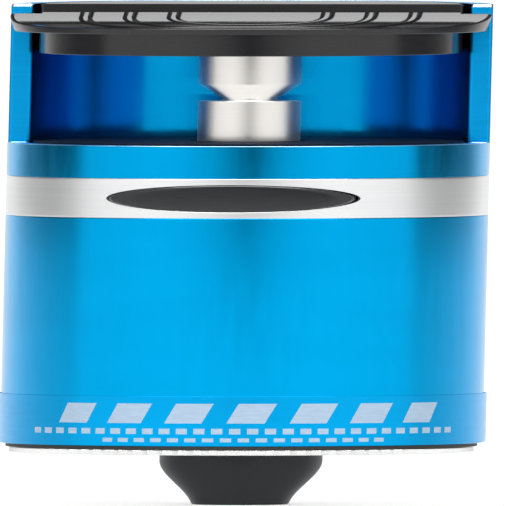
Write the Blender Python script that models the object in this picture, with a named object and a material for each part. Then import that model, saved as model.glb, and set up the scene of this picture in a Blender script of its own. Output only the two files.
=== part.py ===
"""Desoldering pump: a spring-driven suction tool in a slim aluminium tube.

The pump stands on its nozzle with +Z along the plunger, and its release button faces -Y.
The origin is on the tube's axis at the tip of the nozzle. The thumb pad is pushed down
until the latch plate catches the groove of the rod. The button releases it, the main
spring drives the piston up, and the stroke sucks molten solder in through the nozzle.
"""

import math

import bmesh
import bpy
from mathutils import Vector

MM = 0.001

# Tube shells
BODY_RADIUS = 11.0 * MM
WALL = 1.0 * MM
BORE_RADIUS = BODY_RADIUS - WALL
FIT = 0.15 * MM  # radial play of a piece that sits in the bore, and the seam between shells
RUNNING = 0.10 * MM  # radial play of the rod in its bush
CLEAR = 0.3 * MM  # between pieces that don't guide each other
SPRING_END = 0.1 * MM  # between the end of a spring and its seat
EDGE = 0.25 * MM  # chamfer on turned edges
PLUG_RADIUS = BORE_RADIUS - FIT

# Heights above the tip of the nozzle
NOSE_FACE = 21.9 * MM
KNURL_TOP = 24.2 * MM
BARREL_FOOT = 25.8 * MM
LABEL_TOP = 46.6 * MM
COLLAR_FOOT = 120.75 * MM
COLLAR_TOP = 137.1 * MM
GUARD_LIP = 150.8 * MM
PLUG_TOP = 151.6 * MM
GUARD_TOP = 208.5 * MM
GUARD_CORNER = 1.5 * MM  # rounding of the two upper corners of the guard's cut
PLUG_FOOT = 107.9 * MM

# Plunger
STROKE = 36.0 * MM
ROD_RADIUS = 2.35 * MM
NECK_RADIUS = 1.25 * MM
GROOVE_TOP = 175.2 * MM
NECK_TOP = 169.1 * MM
SHOULDER = 168.2 * MM
ROD_TOP = 199.4 * MM
THREAD_RADIUS = 1.5 * MM

# Thumb pad
PAD_FOOT = 188.0 * MM
PAD_RADIUS = 9.65 * MM
RIM_FOOT = 197.05 * MM
RIM_TOP = 199.65 * MM
RIM_FOOT_RADIUS = 10.65 * MM  # the rim widens from here to the radius of the tubes
RIM_GAP = 0.3 * MM  # between the rim and the edges of the guard behind it
SCOOP_START = -8.0 * MM  # where the front rim starts to curve up
SCOOP_END = 204.6 * MM
SCOOP_RADIUS = 8.6 * MM

# Piston
PISTON_TOP = 105.3 * MM
PISTON_FOOT = 94.0 * MM
PISTON_RADIUS = 9.6 * MM
RING_WIRE = 0.85 * MM
RING_PLAY = 0.08 * MM
RING_HEIGHTS = {"piston_ring_upper": 102.6 * MM, "piston_ring_lower": 96.7 * MM}
NUT_FOOT = 89.0 * MM
ROD_FOOT = 88.4 * MM
NUT_HEIGHT = 2.6 * MM
NUT_ACROSS_FLATS = 5.5 * MM
PISTON_WASHER_RADIUS = 4.2 * MM
PIN_RADIUS = 0.6 * MM
PIN_POINT = 0.35 * MM
PIN_FOOT = STROKE + 0.8 * MM  # stays inside the tip at the end of the stroke
PIN_HOLE = 5.0 * MM
BUMPER_RADIUS = 8.4 * MM

# Release button and latch
BUTTON_HEIGHT = 128.93 * MM
BUTTON_RADIUS = 5.6 * MM
BUTTON_FACE = 11.35 * MM
BUTTON_TRAVEL = 1.8 * MM
BUTTON_PLAY = 0.25 * MM  # between the button and the hole of the collar
FLANGE_RADIUS = 6.4 * MM
FLANGE_FRONT = 7.6 * MM
FLANGE_BACK = 6.6 * MM
POCKET_RADIUS = 6.75 * MM
POCKET_BACK = 3.5 * MM
PLATE_FOOT = 133.0 * MM
PLATE_TOP = 134.4 * MM
PLATE_MIDDLE = (PLATE_FOOT + PLATE_TOP) / 2
PLATE_HALF_WIDTH = 4.6 * MM
PLATE_BACK = 5.0 * MM
TAB_FRONT = 6.45 * MM
TAB_BACK = 5.65 * MM
TAB_FOOT = 124.6 * MM
TAB_HALF_WIDTH = 3.4 * MM
SLOT_PLAY = 0.3 * MM
LATCH_SPRING_RADIUS = 1.4 * MM
LATCH_WIRE = 0.17 * MM
LATCH_SPRING_HOLE = 1.8 * MM

# Nose
NOSE_RADIUS = 10.6 * MM
NOSE_SEAL_RADIUS = 10.75 * MM
KNURL_TEETH = 60
KNURL_DEPTH = 0.22 * MM
SPIGOT_TOP = 36.0 * MM
CUP_FLOOR = 26.6 * MM
CUP_RADIUS = 8.6 * MM
NOZZLE_RADIUS = 3.72 * MM
TIP_RADIUS = 2.2 * MM
TIP_BORE = 1.2 * MM
TIP_EDGE = 0.3 * MM
TAPER_FOOT = -1.2 * MM  # the taper eases from here, below the tip, over its length
TAPER_LENGTH = 19.5 * MM
THROAT_RADIUS = 1.6 * MM  # the bore widens from the tip through a throat and a funnel
THROAT_HEIGHT = 10.0 * MM
FUNNEL_FOOT_RADIUS = 2.4 * MM
FUNNEL_FOOT = 24.9 * MM
FUNNEL_TOP_RADIUS = 4.6 * MM
NOZZLE_HOLE = NOZZLE_RADIUS + FIT
FLANGE_LOW = 27.9 * MM
FLANGE_HIGH = 30.4 * MM
SEAT_TOP = 32.2 * MM
SEAT_BORE = 5.2 * MM
NOZZLE_SEAL_RADIUS = 7.8 * MM
SPRING_RADIUS = 7.55 * MM
SPRING_WIRE = 0.6 * MM

ROUND = 48  # sides of the shells and of everything that fits them
SMALL = 24  # sides of the rod and of what fits it


# ---------------------------------------------------------------- helpers


def clear_scene():
    for obj in list(bpy.data.objects):
        bpy.data.objects.remove(obj, do_unlink=True)


def finish(color, roughness, metallic):
    """A plain surface for one piece."""
    return {"color": color, "roughness": roughness, "metallic": metallic}


ANODISED = finish((0.0, 0.28, 0.72), 0.32, 1.0)
ALUMINIUM = finish((0.78, 0.79, 0.80), 0.35, 1.0)
STEEL = finish((0.75, 0.73, 0.70), 0.22, 1.0)
SPRING_STEEL = finish((0.55, 0.55, 0.56), 0.3, 1.0)
BRASS = finish((0.72, 0.55, 0.24), 0.3, 1.0)
BLACK_PLASTIC = finish((0.022, 0.022, 0.024), 0.32, 0.0)
BLACK_NOZZLE = finish((0.03, 0.031, 0.034), 0.55, 0.0)
RUBBER = finish((0.018, 0.018, 0.018), 0.7, 0.0)
WHITE_PLASTIC = finish((0.72, 0.72, 0.70), 0.4, 0.0)
PRINTED_FILM = finish((0.0, 0.30, 0.74), 0.2, 0.3)


def paint(obj, look):
    material = bpy.data.materials.new(obj.name)
    material.use_nodes = True
    shader = material.node_tree.nodes["Principled BSDF"]
    shader.inputs["Base Color"].default_value = (*look["color"], 1.0)
    shader.inputs["Roughness"].default_value = look["roughness"]
    shader.inputs["Metallic"].default_value = look["metallic"]
    obj.data.materials.append(material)


def new_object(name, bm, look=None):
    """Puts a bmesh into the scene as a closed, outward-facing, smooth-shaded object."""
    bmesh.ops.remove_doubles(bm, verts=bm.verts, dist=1e-7)
    bmesh.ops.recalc_face_normals(bm, faces=bm.faces)
    mesh = bpy.data.meshes.new(name)
    bm.to_mesh(mesh)
    bm.free()
    mesh.shade_smooth()
    mesh.set_sharp_from_angle(angle=math.radians(30))
    obj = bpy.data.objects.new(name, mesh)
    bpy.context.scene.collection.objects.link(obj)
    if look:
        paint(obj, look)
    return obj


def turned(name, outline, look=None, sides=ROUND):
    """Turns a closed outline of (radius, height) points about Z."""
    bm = bmesh.new()
    verts = [bm.verts.new((r, 0.0, z)) for r, z in outline]
    edges = [bm.edges.new((a, b)) for a, b in zip(verts, verts[1:] + verts[:1]) if a.co.x or b.co.x]
    bmesh.ops.spin(
        bm,
        geom=verts + edges,
        cent=(0, 0, 0),
        axis=(0, 0, 1),
        angle=math.tau,
        steps=sides,
        use_merge=True,
    )
    return new_object(name, bm, look)


def ring(inner, outer, low, high, chamfer=0.0):
    """The outline of a plain ring, or of a disc where inner is 0, chamfered on its outer edges."""
    if not chamfer:
        return [(inner, low), (outer, low), (outer, high), (inner, high)]
    return [
        (inner, low),
        (outer - chamfer, low),
        (outer, low + chamfer),
        (outer, high - chamfer),
        (outer - chamfer, high),
        (inner, high),
    ]


def prism(name, outline, low, high, axis="Z", look=None):
    """Extrudes a closed outline: (x, y) points along Z, (y, z) along X or (x, z) along Y."""
    place = {
        "X": lambda a, b, t: (t, a, b),
        "Y": lambda a, b, t: (a, t, b),
        "Z": lambda a, b, t: (a, b, t),
    }[axis]
    bm = bmesh.new()
    foot = [bm.verts.new(place(a, b, low)) for a, b in outline]
    face = bm.faces.new(foot)
    grown = bmesh.ops.extrude_face_region(bm, geom=[face])["geom"]
    top = [v for v in grown if isinstance(v, bmesh.types.BMVert)]
    bmesh.ops.translate(bm, verts=top, vec=Vector(place(0, 0, high - low)))
    return new_object(name, bm, look)


def box(name, low, high, look=None):
    (x0, y0, z0), (x1, y1, z1) = low, high
    return prism(name, [(x0, y0), (x1, y0), (x1, y1), (x0, y1)], z0, z1, look=look)


def arc(center, radius, start, end, steps):
    """Points along an arc, from the start angle to the end angle in degrees."""
    cx, cy = center
    angles = [math.radians(start + (end - start) * i / steps) for i in range(steps + 1)]
    return [(cx + radius * math.cos(a), cy + radius * math.sin(a)) for a in angles]


def rod_along_y(name, radius, front, back, height, sides=ROUND):
    """A cylinder about a line along Y at the given height."""
    return prism(name, arc((0, height), radius, 0, 360, sides)[:-1], front, back, axis="Y")


def combine(obj, tool, operation):
    """Adds or cuts with a tool, which stays in the scene as a hidden guide."""
    modifier = obj.modifiers.new(tool.name, "BOOLEAN")
    modifier.operation = operation
    modifier.solver = "EXACT"
    modifier.object = tool
    tool.hide_render = True
    tool.display_type = "WIRE"


def cut(obj, *tools):
    for tool in tools:
        combine(obj, tool, "DIFFERENCE")


def join(obj, *tools):
    for tool in tools:
        combine(obj, tool, "UNION")


def coil(name, radius, wire, low, high, turns, per_turn):
    """A compression spring about Z with one closed turn at each end."""
    closed_pitch = 2.15 * wire
    free = turns - 2
    open_pitch = (high - low - 2 * wire - 2 * closed_pitch) / free

    def height(turn):
        ends = min(turn, 1.0) + max(turn - 1.0 - free, 0.0)
        return low + wire + closed_pitch * ends + open_pitch * min(max(turn - 1.0, 0.0), free)

    curve = bpy.data.curves.new(name, "CURVE")
    curve.dimensions = "3D"
    curve.bevel_depth = wire
    curve.bevel_resolution = 1
    curve.use_fill_caps = True
    spline = curve.splines.new("POLY")
    count = turns * per_turn
    spline.points.add(count)
    for i, point in enumerate(spline.points):
        angle = math.tau * i / per_turn
        place = (radius * math.cos(angle), radius * math.sin(angle), height(i / per_turn))
        point.co = (*place, 1.0)
    obj = bpy.data.objects.new(name, curve)
    bpy.context.scene.collection.objects.link(obj)
    paint(obj, SPRING_STEEL)
    return obj


# ---------------------------------------------------------------- shells


def make_barrel():
    outline = [
        (BORE_RADIUS, BARREL_FOOT),
        (BODY_RADIUS - EDGE, BARREL_FOOT),
        (BODY_RADIUS, BARREL_FOOT + EDGE),
        (BODY_RADIUS, COLLAR_FOOT - FIT),
        (BORE_RADIUS, COLLAR_FOOT - FIT),
    ]
    turned("barrel_tube", outline, ANODISED)


def make_label():
    """A film a tenth of a millimetre thick, wrapped round the barrel."""
    film = 0.10 * MM
    glue = 0.03 * MM
    margin = 0.5 * MM
    foot = BARREL_FOOT + margin
    inner = BODY_RADIUS + glue
    turned("label_film", ring(inner, inner + film, foot, LABEL_TOP), PRINTED_FILM)


def make_collar():
    collar = turned(
        "trigger_collar", ring(BORE_RADIUS, BODY_RADIUS, COLLAR_FOOT, COLLAR_TOP), ALUMINIUM
    )
    beyond = BODY_RADIUS + MM
    hole = rod_along_y("button_hole", BUTTON_RADIUS + BUTTON_PLAY, -beyond, -MM, BUTTON_HEIGHT)
    cut(collar, hole)


def make_guard():
    """A tube whose front half is milled away above the lip, down to the plane of its axis.

    The two upper corners that this leaves are rounded.
    """
    foot = COLLAR_TOP + FIT
    outline = [
        (BORE_RADIUS, foot),
        (BODY_RADIUS, foot),
        (BODY_RADIUS, GUARD_TOP - EDGE),
        (BODY_RADIUS - EDGE, GUARD_TOP),
        (BORE_RADIUS + EDGE, GUARD_TOP),
        (BORE_RADIUS, GUARD_TOP - EDGE),
    ]
    guard = turned("guard_tube", outline, ANODISED)
    side = BODY_RADIUS + MM
    window = box("guard_window", (-side, -side, GUARD_LIP), (side, 0.0, GUARD_TOP + MM))
    round_top = [(-MM, GUARD_TOP + MM), (GUARD_CORNER, GUARD_TOP + MM)]
    round_top += arc((GUARD_CORNER, GUARD_TOP - GUARD_CORNER), GUARD_CORNER, 90, 180, 5)
    round_top += [(-MM, GUARD_TOP - GUARD_CORNER)]
    cut(guard, window, prism("guard_corners", round_top, -side, side, axis="X"))


# ---------------------------------------------------------------- plug and bush

BUSH_RADIUS = 4.2 * MM
BUSH_TOP = 117.0 * MM


def make_plug():
    """The plug fills the collar, carries the rod, and holds the button and latch."""
    bore = ROD_RADIUS + CLEAR
    seat = BUSH_RADIUS + FIT
    outline = [
        (seat, PLUG_FOOT),
        (PLUG_RADIUS - EDGE, PLUG_FOOT),
        (PLUG_RADIUS, PLUG_FOOT + EDGE),
        (PLUG_RADIUS, PLUG_TOP - EDGE),
        (PLUG_RADIUS - EDGE, PLUG_TOP),
        (bore, PLUG_TOP),
        (bore, BUSH_TOP + FIT),
        (seat, BUSH_TOP + FIT),
    ]
    plug = turned("guide_plug", outline, BLACK_PLASTIC)
    beyond = PLUG_RADIUS + MM
    pocket = rod_along_y("button_pocket", POCKET_RADIUS, -beyond, -POCKET_BACK, BUTTON_HEIGHT)
    half = PLATE_HALF_WIDTH + SLOT_PLAY
    slot = box(
        "latch_slot",
        (-half, -TAB_FRONT - SLOT_PLAY, PLATE_FOOT - SLOT_PLAY),
        (half, PLATE_BACK + BUTTON_TRAVEL + SLOT_PLAY, PLATE_TOP + SLOT_PLAY),
    )
    spring_hole = rod_along_y(
        "latch_spring_hole", LATCH_SPRING_HOLE, PLATE_BACK, beyond, PLATE_MIDDLE, SMALL
    )
    cut(plug, pocket, slot, spring_hole)


def make_bush():
    inner = ROD_RADIUS + RUNNING
    turned("rod_guide_bush", ring(inner, BUSH_RADIUS, PLUG_FOOT, BUSH_TOP), BRASS, SMALL)


def make_bumper():
    inner = ROD_RADIUS + CLEAR
    high = PLUG_FOOT - FIT
    low = PISTON_TOP + CLEAR
    turned("bumper_washer", ring(inner, BUMPER_RADIUS, low, high, EDGE), RUBBER, SMALL)


# ---------------------------------------------------------------- button and latch


def make_button():
    """A flanged cap with a bevelled face, turned about the line that it is pressed along."""
    bevel = 0.45 * MM
    outline = [
        (0.0, BUTTON_FACE),
        (BUTTON_RADIUS - bevel, BUTTON_FACE),
        (BUTTON_RADIUS, BUTTON_FACE - bevel),
        (BUTTON_RADIUS, FLANGE_FRONT),
        (FLANGE_RADIUS, FLANGE_FRONT),
        (FLANGE_RADIUS, FLANGE_BACK),
        (0.0, FLANGE_BACK),
    ]
    button = turned("button_cap", outline, BLACK_PLASTIC)
    button.rotation_euler = (math.radians(90), 0, 0)
    button.location = (0, 0, BUTTON_HEIGHT)


def make_latch_plate():
    """A bent plate: the tab stands behind the button, and the slotted leg goes round the rod."""
    slot_radius = ROD_RADIUS + SLOT_PLAY
    front_center = -BUTTON_TRAVEL
    slot = arc((0, 0), slot_radius, 0, 180, 16) + arc((0, front_center), slot_radius, 180, 360, 16)
    corner = 1.2 * MM
    half = PLATE_HALF_WIDTH
    back = PLATE_BACK
    outline = [(-half, -TAB_FRONT), (half, -TAB_FRONT)]
    outline += arc((half - corner, back - corner), corner, 0, 90, 4)
    outline += arc((-half + corner, back - corner), corner, 90, 180, 4)
    plate = prism("latch_plate", outline, PLATE_FOOT, PLATE_TOP, look=SPRING_STEEL)
    near = (-TAB_HALF_WIDTH, -TAB_FRONT, TAB_FOOT)
    tab = box("latch_tab", near, (TAB_HALF_WIDTH, -TAB_BACK, PLATE_MIDDLE))
    rod_slot = prism("latch_rod_slot", slot, PLATE_FOOT - MM, PLATE_TOP + MM)
    join(plate, tab)
    cut(plate, rod_slot)


def make_latch_spring():
    """Sits between the back of the latch plate and the wall of the collar."""
    low = PLATE_BACK + SPRING_END
    high = BORE_RADIUS - CLEAR
    spring = coil("latch_spring", LATCH_SPRING_RADIUS, LATCH_WIRE, low, high, turns=5, per_turn=10)
    spring.rotation_euler = (math.radians(-90), 0, 0)
    spring.location = (0, 0, PLATE_MIDDLE)


# ---------------------------------------------------------------- plunger


def make_rod():
    hole = PIN_RADIUS + RUNNING
    outline = [
        (0.0, ROD_TOP),
        (0.0, ROD_FOOT + PIN_HOLE),
        (hole, ROD_FOOT + PIN_HOLE),
        (hole, ROD_FOOT),
        (THREAD_RADIUS, ROD_FOOT),
        (THREAD_RADIUS, PISTON_TOP + FIT),
        (ROD_RADIUS, PISTON_TOP + FIT),
        (ROD_RADIUS, SHOULDER),
        (NECK_RADIUS, SHOULDER),
        (NECK_RADIUS, NECK_TOP),
        (ROD_RADIUS, GROOVE_TOP),
        (ROD_RADIUS, ROD_TOP - EDGE),
        (ROD_RADIUS - EDGE, ROD_TOP),
    ]
    turned("plunger_rod", outline, STEEL, SMALL)


def make_thumb_pad():
    """A round pad whose front half is wide enough to ride over the guard's edges.

    The front is scooped for the thumb: flat at the rim, then an arc that climbs to the block.
    """
    chamfer = 0.4 * MM
    above = GUARD_TOP + MM
    beyond = BODY_RADIUS + MM
    pad = turned("thumb_pad", ring(0.0, PAD_RADIUS, PAD_FOOT, GUARD_TOP, chamfer), BLACK_PLASTIC)
    wide = [
        (0.0, RIM_FOOT),
        (RIM_FOOT_RADIUS - chamfer, RIM_FOOT),
        (RIM_FOOT_RADIUS, RIM_FOOT + chamfer),
        (BODY_RADIUS, SCOOP_END),
        (BODY_RADIUS, above),
        (0.0, above),
    ]
    rim = turned("pad_rim", wide)
    cut(rim, box("rim_back", (-beyond, -RIM_GAP, RIM_FOOT - MM), (beyond, beyond, above + MM)))
    end = math.degrees(math.asin(-SCOOP_START / SCOOP_RADIUS)) - 90
    profile = [(-beyond, above + MM), (-beyond, RIM_TOP)]
    profile += arc((SCOOP_START, RIM_TOP + SCOOP_RADIUS), SCOOP_RADIUS, -90, end, 12)
    profile += [(0.0, above + MM)]
    scoop = prism("pad_scoop", profile, -beyond, beyond, axis="X")
    socket = ring(0.0, ROD_RADIUS + FIT, PAD_FOOT - MM, ROD_TOP + FIT)
    join(pad, rim)
    cut(pad, scoop, turned("pad_socket", socket))


def make_piston():
    bore = THREAD_RADIUS + FIT
    groove_depth = 1.5 * MM
    groove_half = RING_WIRE + RING_PLAY
    outline = [(bore, PISTON_TOP), (bore, PISTON_FOOT), (PISTON_RADIUS - EDGE, PISTON_FOOT)]
    outline += [(PISTON_RADIUS, PISTON_FOOT + EDGE)]
    floor = PISTON_RADIUS - groove_depth
    for height in sorted(RING_HEIGHTS.values()):
        low, high = height - groove_half, height + groove_half
        outline += [(PISTON_RADIUS, low), (floor, low), (floor, high), (PISTON_RADIUS, high)]
    outline += [(PISTON_RADIUS, PISTON_TOP - EDGE), (PISTON_RADIUS - EDGE, PISTON_TOP)]
    turned("piston_body", outline, WHITE_PLASTIC)
    middle = BORE_RADIUS - RING_PLAY - RING_WIRE
    for name, height in RING_HEIGHTS.items():
        turned(name, arc((middle, height), RING_WIRE, 0, 360, 8)[:-1], RUBBER)


def make_piston_fixing():
    bore = THREAD_RADIUS + FIT
    nut_top = NUT_FOOT + NUT_HEIGHT
    washer = ring(bore, PISTON_WASHER_RADIUS, nut_top + FIT, PISTON_FOOT - FIT)
    turned("piston_washer", washer, ALUMINIUM, SMALL)
    corner_radius = NUT_ACROSS_FLATS / 2 / math.cos(math.radians(30))
    nut = prism(
        "piston_nut", arc((0, 0), corner_radius, 0, 360, 6)[:-1], NUT_FOOT, nut_top, look=BRASS
    )
    hole = prism("nut_hole", arc((0, 0), bore, 0, 360, SMALL)[:-1], NUT_FOOT - MM, nut_top + MM)
    cut(nut, hole)


def make_cleaning_pin():
    top = ROD_FOOT + PIN_HOLE - 2 * FIT
    outline = [
        (0.0, top),
        (0.0, PIN_FOOT),
        (PIN_RADIUS - PIN_POINT, PIN_FOOT),
        (PIN_RADIUS, PIN_FOOT + 2 * PIN_POINT),
        (PIN_RADIUS, top),
    ]
    turned("cleaning_pin", outline, STEEL, 16)


def make_main_spring():
    low = SEAT_TOP + SPRING_END
    high = PISTON_FOOT - SPRING_END
    coil("main_spring", SPRING_RADIUS, SPRING_WIRE, low, high, turns=12, per_turn=14)


# ---------------------------------------------------------------- nose


def make_nose_cap():
    """A knurled rim with a spigot that goes into the barrel, bored out as a cup."""
    points = []
    for i in range(2 * KNURL_TEETH):
        radius = NOSE_RADIUS - (KNURL_DEPTH if i % 2 else 0.0)
        angle = math.pi * i / KNURL_TEETH
        points.append((radius * math.cos(angle), radius * math.sin(angle)))
    nose = prism("nose_cap", points, NOSE_FACE, KNURL_TOP, look=ALUMINIUM)
    spigot = turned("nose_spigot", ring(0.0, PLUG_RADIUS, KNURL_TOP - MM, SPIGOT_TOP, EDGE))
    hollow = [
        (0.0, NOSE_FACE - MM),
        (NOZZLE_HOLE, NOSE_FACE - MM),
        (NOZZLE_HOLE, CUP_FLOOR),
        (CUP_RADIUS, CUP_FLOOR),
        (CUP_RADIUS, SPIGOT_TOP + MM),
        (0.0, SPIGOT_TOP + MM),
    ]
    join(nose, spigot)
    cut(nose, turned("nose_hollow", hollow))


def make_nose_seal():
    """The black ring that shows between the barrel and the knurl."""
    low, high = KNURL_TOP + RUNNING, BARREL_FOOT - RUNNING
    outline = ring(PLUG_RADIUS + RUNNING, NOSE_SEAL_RADIUS, low, high, EDGE)
    turned("nose_seal", outline, RUBBER)


def nozzle_radius(height):
    """The outside of the nozzle: full width at the nose, easing down to the tip."""
    t = (height - TAPER_FOOT) / TAPER_LENGTH
    t = min(max(t, 0.0), 1.0)
    return TIP_RADIUS + (NOZZLE_RADIUS - TIP_RADIUS) * t * t * (3 - 2 * t)


def make_nozzle():
    steps = 10
    outline = [(TIP_BORE, 0.0), (TIP_RADIUS - TIP_EDGE, 0.0)]
    for i in range(steps + 1):
        height = TIP_EDGE + (NOSE_FACE - TIP_EDGE) * i / steps
        outline.append((nozzle_radius(height), height))
    flange = CUP_RADIUS - 2 * FIT
    outline += [(NOZZLE_RADIUS, FLANGE_LOW), (flange, FLANGE_LOW), (flange, FLANGE_HIGH)]
    outline += [(FUNNEL_TOP_RADIUS, FLANGE_HIGH), (FUNNEL_FOOT_RADIUS, FUNNEL_FOOT)]
    outline += [(THROAT_RADIUS, THROAT_HEIGHT)]
    turned("nozzle_tip", outline, BLACK_NOZZLE, SMALL)


def make_nose_insides():
    seal = ring(NOZZLE_HOLE + FIT, NOZZLE_SEAL_RADIUS, CUP_FLOOR + FIT, FLANGE_LOW - FIT)
    turned("nozzle_seal", seal, RUBBER, SMALL)
    seat = ring(SEAT_BORE, CUP_RADIUS - FIT, FLANGE_HIGH + FIT, SEAT_TOP)
    turned("spring_seat", seat, ALUMINIUM)


def main():
    clear_scene()
    make_barrel()
    make_label()
    make_collar()
    make_guard()
    make_plug()
    make_bush()
    make_bumper()
    make_button()
    make_latch_plate()
    make_latch_spring()
    make_rod()
    make_thumb_pad()
    make_piston()
    make_piston_fixing()
    make_cleaning_pin()
    make_main_spring()
    make_nose_cap()
    make_nose_seal()
    make_nozzle()
    make_nose_insides()


main()
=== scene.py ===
"""The looks of the desoldering pump: fine meshes, materials, studio light and camera."""

import math

import bmesh
import bpy
from mathutils import Matrix, Vector


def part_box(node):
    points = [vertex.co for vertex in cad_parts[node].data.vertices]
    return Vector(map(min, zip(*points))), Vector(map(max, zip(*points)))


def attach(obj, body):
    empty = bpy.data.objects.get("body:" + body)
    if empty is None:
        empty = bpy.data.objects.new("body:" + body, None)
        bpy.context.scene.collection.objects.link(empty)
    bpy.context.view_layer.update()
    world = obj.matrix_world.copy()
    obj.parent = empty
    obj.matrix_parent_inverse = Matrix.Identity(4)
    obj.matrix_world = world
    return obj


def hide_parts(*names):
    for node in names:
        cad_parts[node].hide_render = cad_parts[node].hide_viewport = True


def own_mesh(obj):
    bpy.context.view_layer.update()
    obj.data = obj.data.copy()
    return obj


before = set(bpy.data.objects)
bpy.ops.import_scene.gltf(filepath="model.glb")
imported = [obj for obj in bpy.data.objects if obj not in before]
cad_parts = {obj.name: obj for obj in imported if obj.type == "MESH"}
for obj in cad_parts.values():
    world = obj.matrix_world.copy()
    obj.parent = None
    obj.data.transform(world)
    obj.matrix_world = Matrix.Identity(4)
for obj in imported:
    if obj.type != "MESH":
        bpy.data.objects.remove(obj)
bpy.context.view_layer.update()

MM = 0.001
FINE = 192  # sides of a shell
MEDIUM = 96  # sides of a small turned piece
SHARP = 38  # degrees between two faces from which their edge is shaded sharp


def low(node):
    """The lower corner of a CAD node's box."""
    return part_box(node)[0]


def high(node):
    """The upper corner of a CAD node's box."""
    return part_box(node)[1]


# Driving sizes, read from the frame
BODY_RADIUS = high("guard_tube").x
BORE_RADIUS = BODY_RADIUS - 1.0 * MM
ROD_RADIUS = high("plunger_rod").x
GUARD_TOP = high("guard_tube").z
GUARD_LIP = 150.8 * MM
BUTTON_HEIGHT = (low("button_cap").z + high("button_cap").z) / 2
BUTTON_FRONT = low("button_cap").y
FIT = 0.15 * MM

# The thumb pad
PAD_RADIUS = 9.65 * MM
PAD_GAP = 0.3 * MM  # between the wide front and the edges of the guard behind it
RIM_FOOT = 197.05 * MM
RIM_TOP = 199.65 * MM
RIM_RADIUS = 10.8 * MM  # at its foot
RIM_FULL = 200.4 * MM  # the height from which the rim is as wide as the tubes
SCOOP_START = -8.0 * MM  # where the flat rim turns up into the scoop, along Y
SCOOP_RADIUS = 8.6 * MM
SCOOP_TOP = RIM_TOP + SCOOP_RADIUS - math.sqrt(SCOOP_RADIUS**2 - SCOOP_START**2)


# ---------------------------------------------------------------- mesh helpers


def filleted(corners, steps=4):
    """Rounds the corners of a closed outline of (a, b, radius) points.

    A point on each side of a rounding keeps the shading of the long flat runs straight.
    """
    most = 0.4  # of a side goes into one rounding
    beside = 1.2  # how far along the sides the extra points lie, in reaches of the rounding
    points = []
    for i, (a, b, radius) in enumerate(corners):
        here = Vector((a, b))
        before = Vector(corners[i - 1][:2]) - here
        after = Vector(corners[(i + 1) % len(corners)][:2]) - here
        if not radius:
            points.append((a, b))
            continue
        reach = radius / math.tan(before.angle(after) / 2)
        reach = min(reach, most * before.length, most * after.length)
        start = before.normalized() * reach
        end = after.normalized() * reach
        points.append(tuple(here + beside * start))
        for k in range(steps + 1):
            t = k / steps
            points.append(tuple(here + (1 - t) ** 2 * start + t**2 * end))
        points.append(tuple(here + beside * end))
    return points


def make_object(name, bm, material=None, sharp=SHARP):
    """Puts a bmesh into the scene, facing out and smooth, with an edge sharp above an angle."""
    bmesh.ops.remove_doubles(bm, verts=bm.verts, dist=1e-7)
    bmesh.ops.recalc_face_normals(bm, faces=bm.faces)
    mesh = bpy.data.meshes.new(name)
    bm.to_mesh(mesh)
    bm.free()
    mesh.shade_smooth()
    mesh.set_sharp_from_angle(angle=math.radians(sharp))
    obj = bpy.data.objects.new(name, mesh)
    bpy.context.scene.collection.objects.link(obj)
    if material:
        mesh.materials.append(material)
    return obj


def turned(name, outline, material, sides=FINE, sharp=SHARP):
    """Turns a closed outline of (radius, height) points about Z. Points on the axis become poles.

    No other vertex lies in the planes x = 0 and y = 0, so that a cut there is clean.
    """
    bm = bmesh.new()
    rows = []
    for radius, height in outline:
        if radius < 1e-9:
            rows.append([bm.verts.new((0, 0, height))] * sides)
            continue
        turns = [math.tau * (k + 0.5) / sides for k in range(sides)]
        rows.append([bm.verts.new((radius * math.cos(t), radius * math.sin(t), height)) for t in turns])
    for below, above in zip(rows, rows[1:] + rows[:1]):
        for k in range(sides):
            corners = [below[k], below[(k + 1) % sides], above[(k + 1) % sides], above[k]]
            unique = list(dict.fromkeys(corners))
            if len(unique) > 2:
                bm.faces.new(unique)
    return make_object(name, bm, material, sharp)


def ring(inner, outer, foot, top, rounding):
    """The rounded outline of a plain ring."""
    corners = [(inner, foot), (outer, foot), (outer, top), (inner, top)]
    return filleted([(r, z, rounding) for r, z in corners])


def disc(outer, foot, top, rounding):
    """The rounded outline of a solid disc, from its foot on the axis to its top on the axis."""
    corners = [(0.0, foot, 0), (outer, foot, rounding), (outer, top, rounding), (0.0, top, 0)]
    return filleted(corners)


def prism(name, outline, near, far, axis="Z"):
    """A cutter: an outline of (x, y) points extruded along Z, of (y, z) along X or of (x, z) along Y."""
    place = {
        "X": lambda a, b, t: (t, a, b),
        "Y": lambda a, b, t: (a, t, b),
        "Z": lambda a, b, t: (a, b, t),
    }[axis]
    bm = bmesh.new()
    face = bm.faces.new([bm.verts.new(place(a, b, near)) for a, b in outline])
    grown = bmesh.ops.extrude_face_region(bm, geom=[face])["geom"]
    moved = [v for v in grown if isinstance(v, bmesh.types.BMVert)]
    bmesh.ops.translate(bm, verts=moved, vec=Vector(place(0, 0, far - near)))
    return make_object(name, bm)


def front_cutter(name, foot, top):
    """A cutter round everything in front of the axis, between two heights."""
    beyond = BODY_RADIUS + MM
    outline = [(-beyond, -beyond), (beyond, -beyond), (beyond, 0.0), (-beyond, 0.0)]
    return prism(name, outline, foot, top)


def arc(center, radius, start, end, steps):
    """Points along an arc, from its start to its end in degrees."""
    cx, cy = center
    angles = [math.radians(start + (end - start) * i / steps) for i in range(steps + 1)]
    return [(cx + radius * math.cos(a), cy + radius * math.sin(a)) for a in angles]


def combine(obj, operation, *tools):
    """Adds or cuts with tools, and removes them."""
    for tool in tools:
        modifier = obj.modifiers.new(tool.name, "BOOLEAN")
        modifier.operation = operation
        modifier.solver = "EXACT"
        modifier.object = tool
    settle(obj)
    for tool in tools:
        bpy.data.objects.remove(tool, do_unlink=True)


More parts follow.
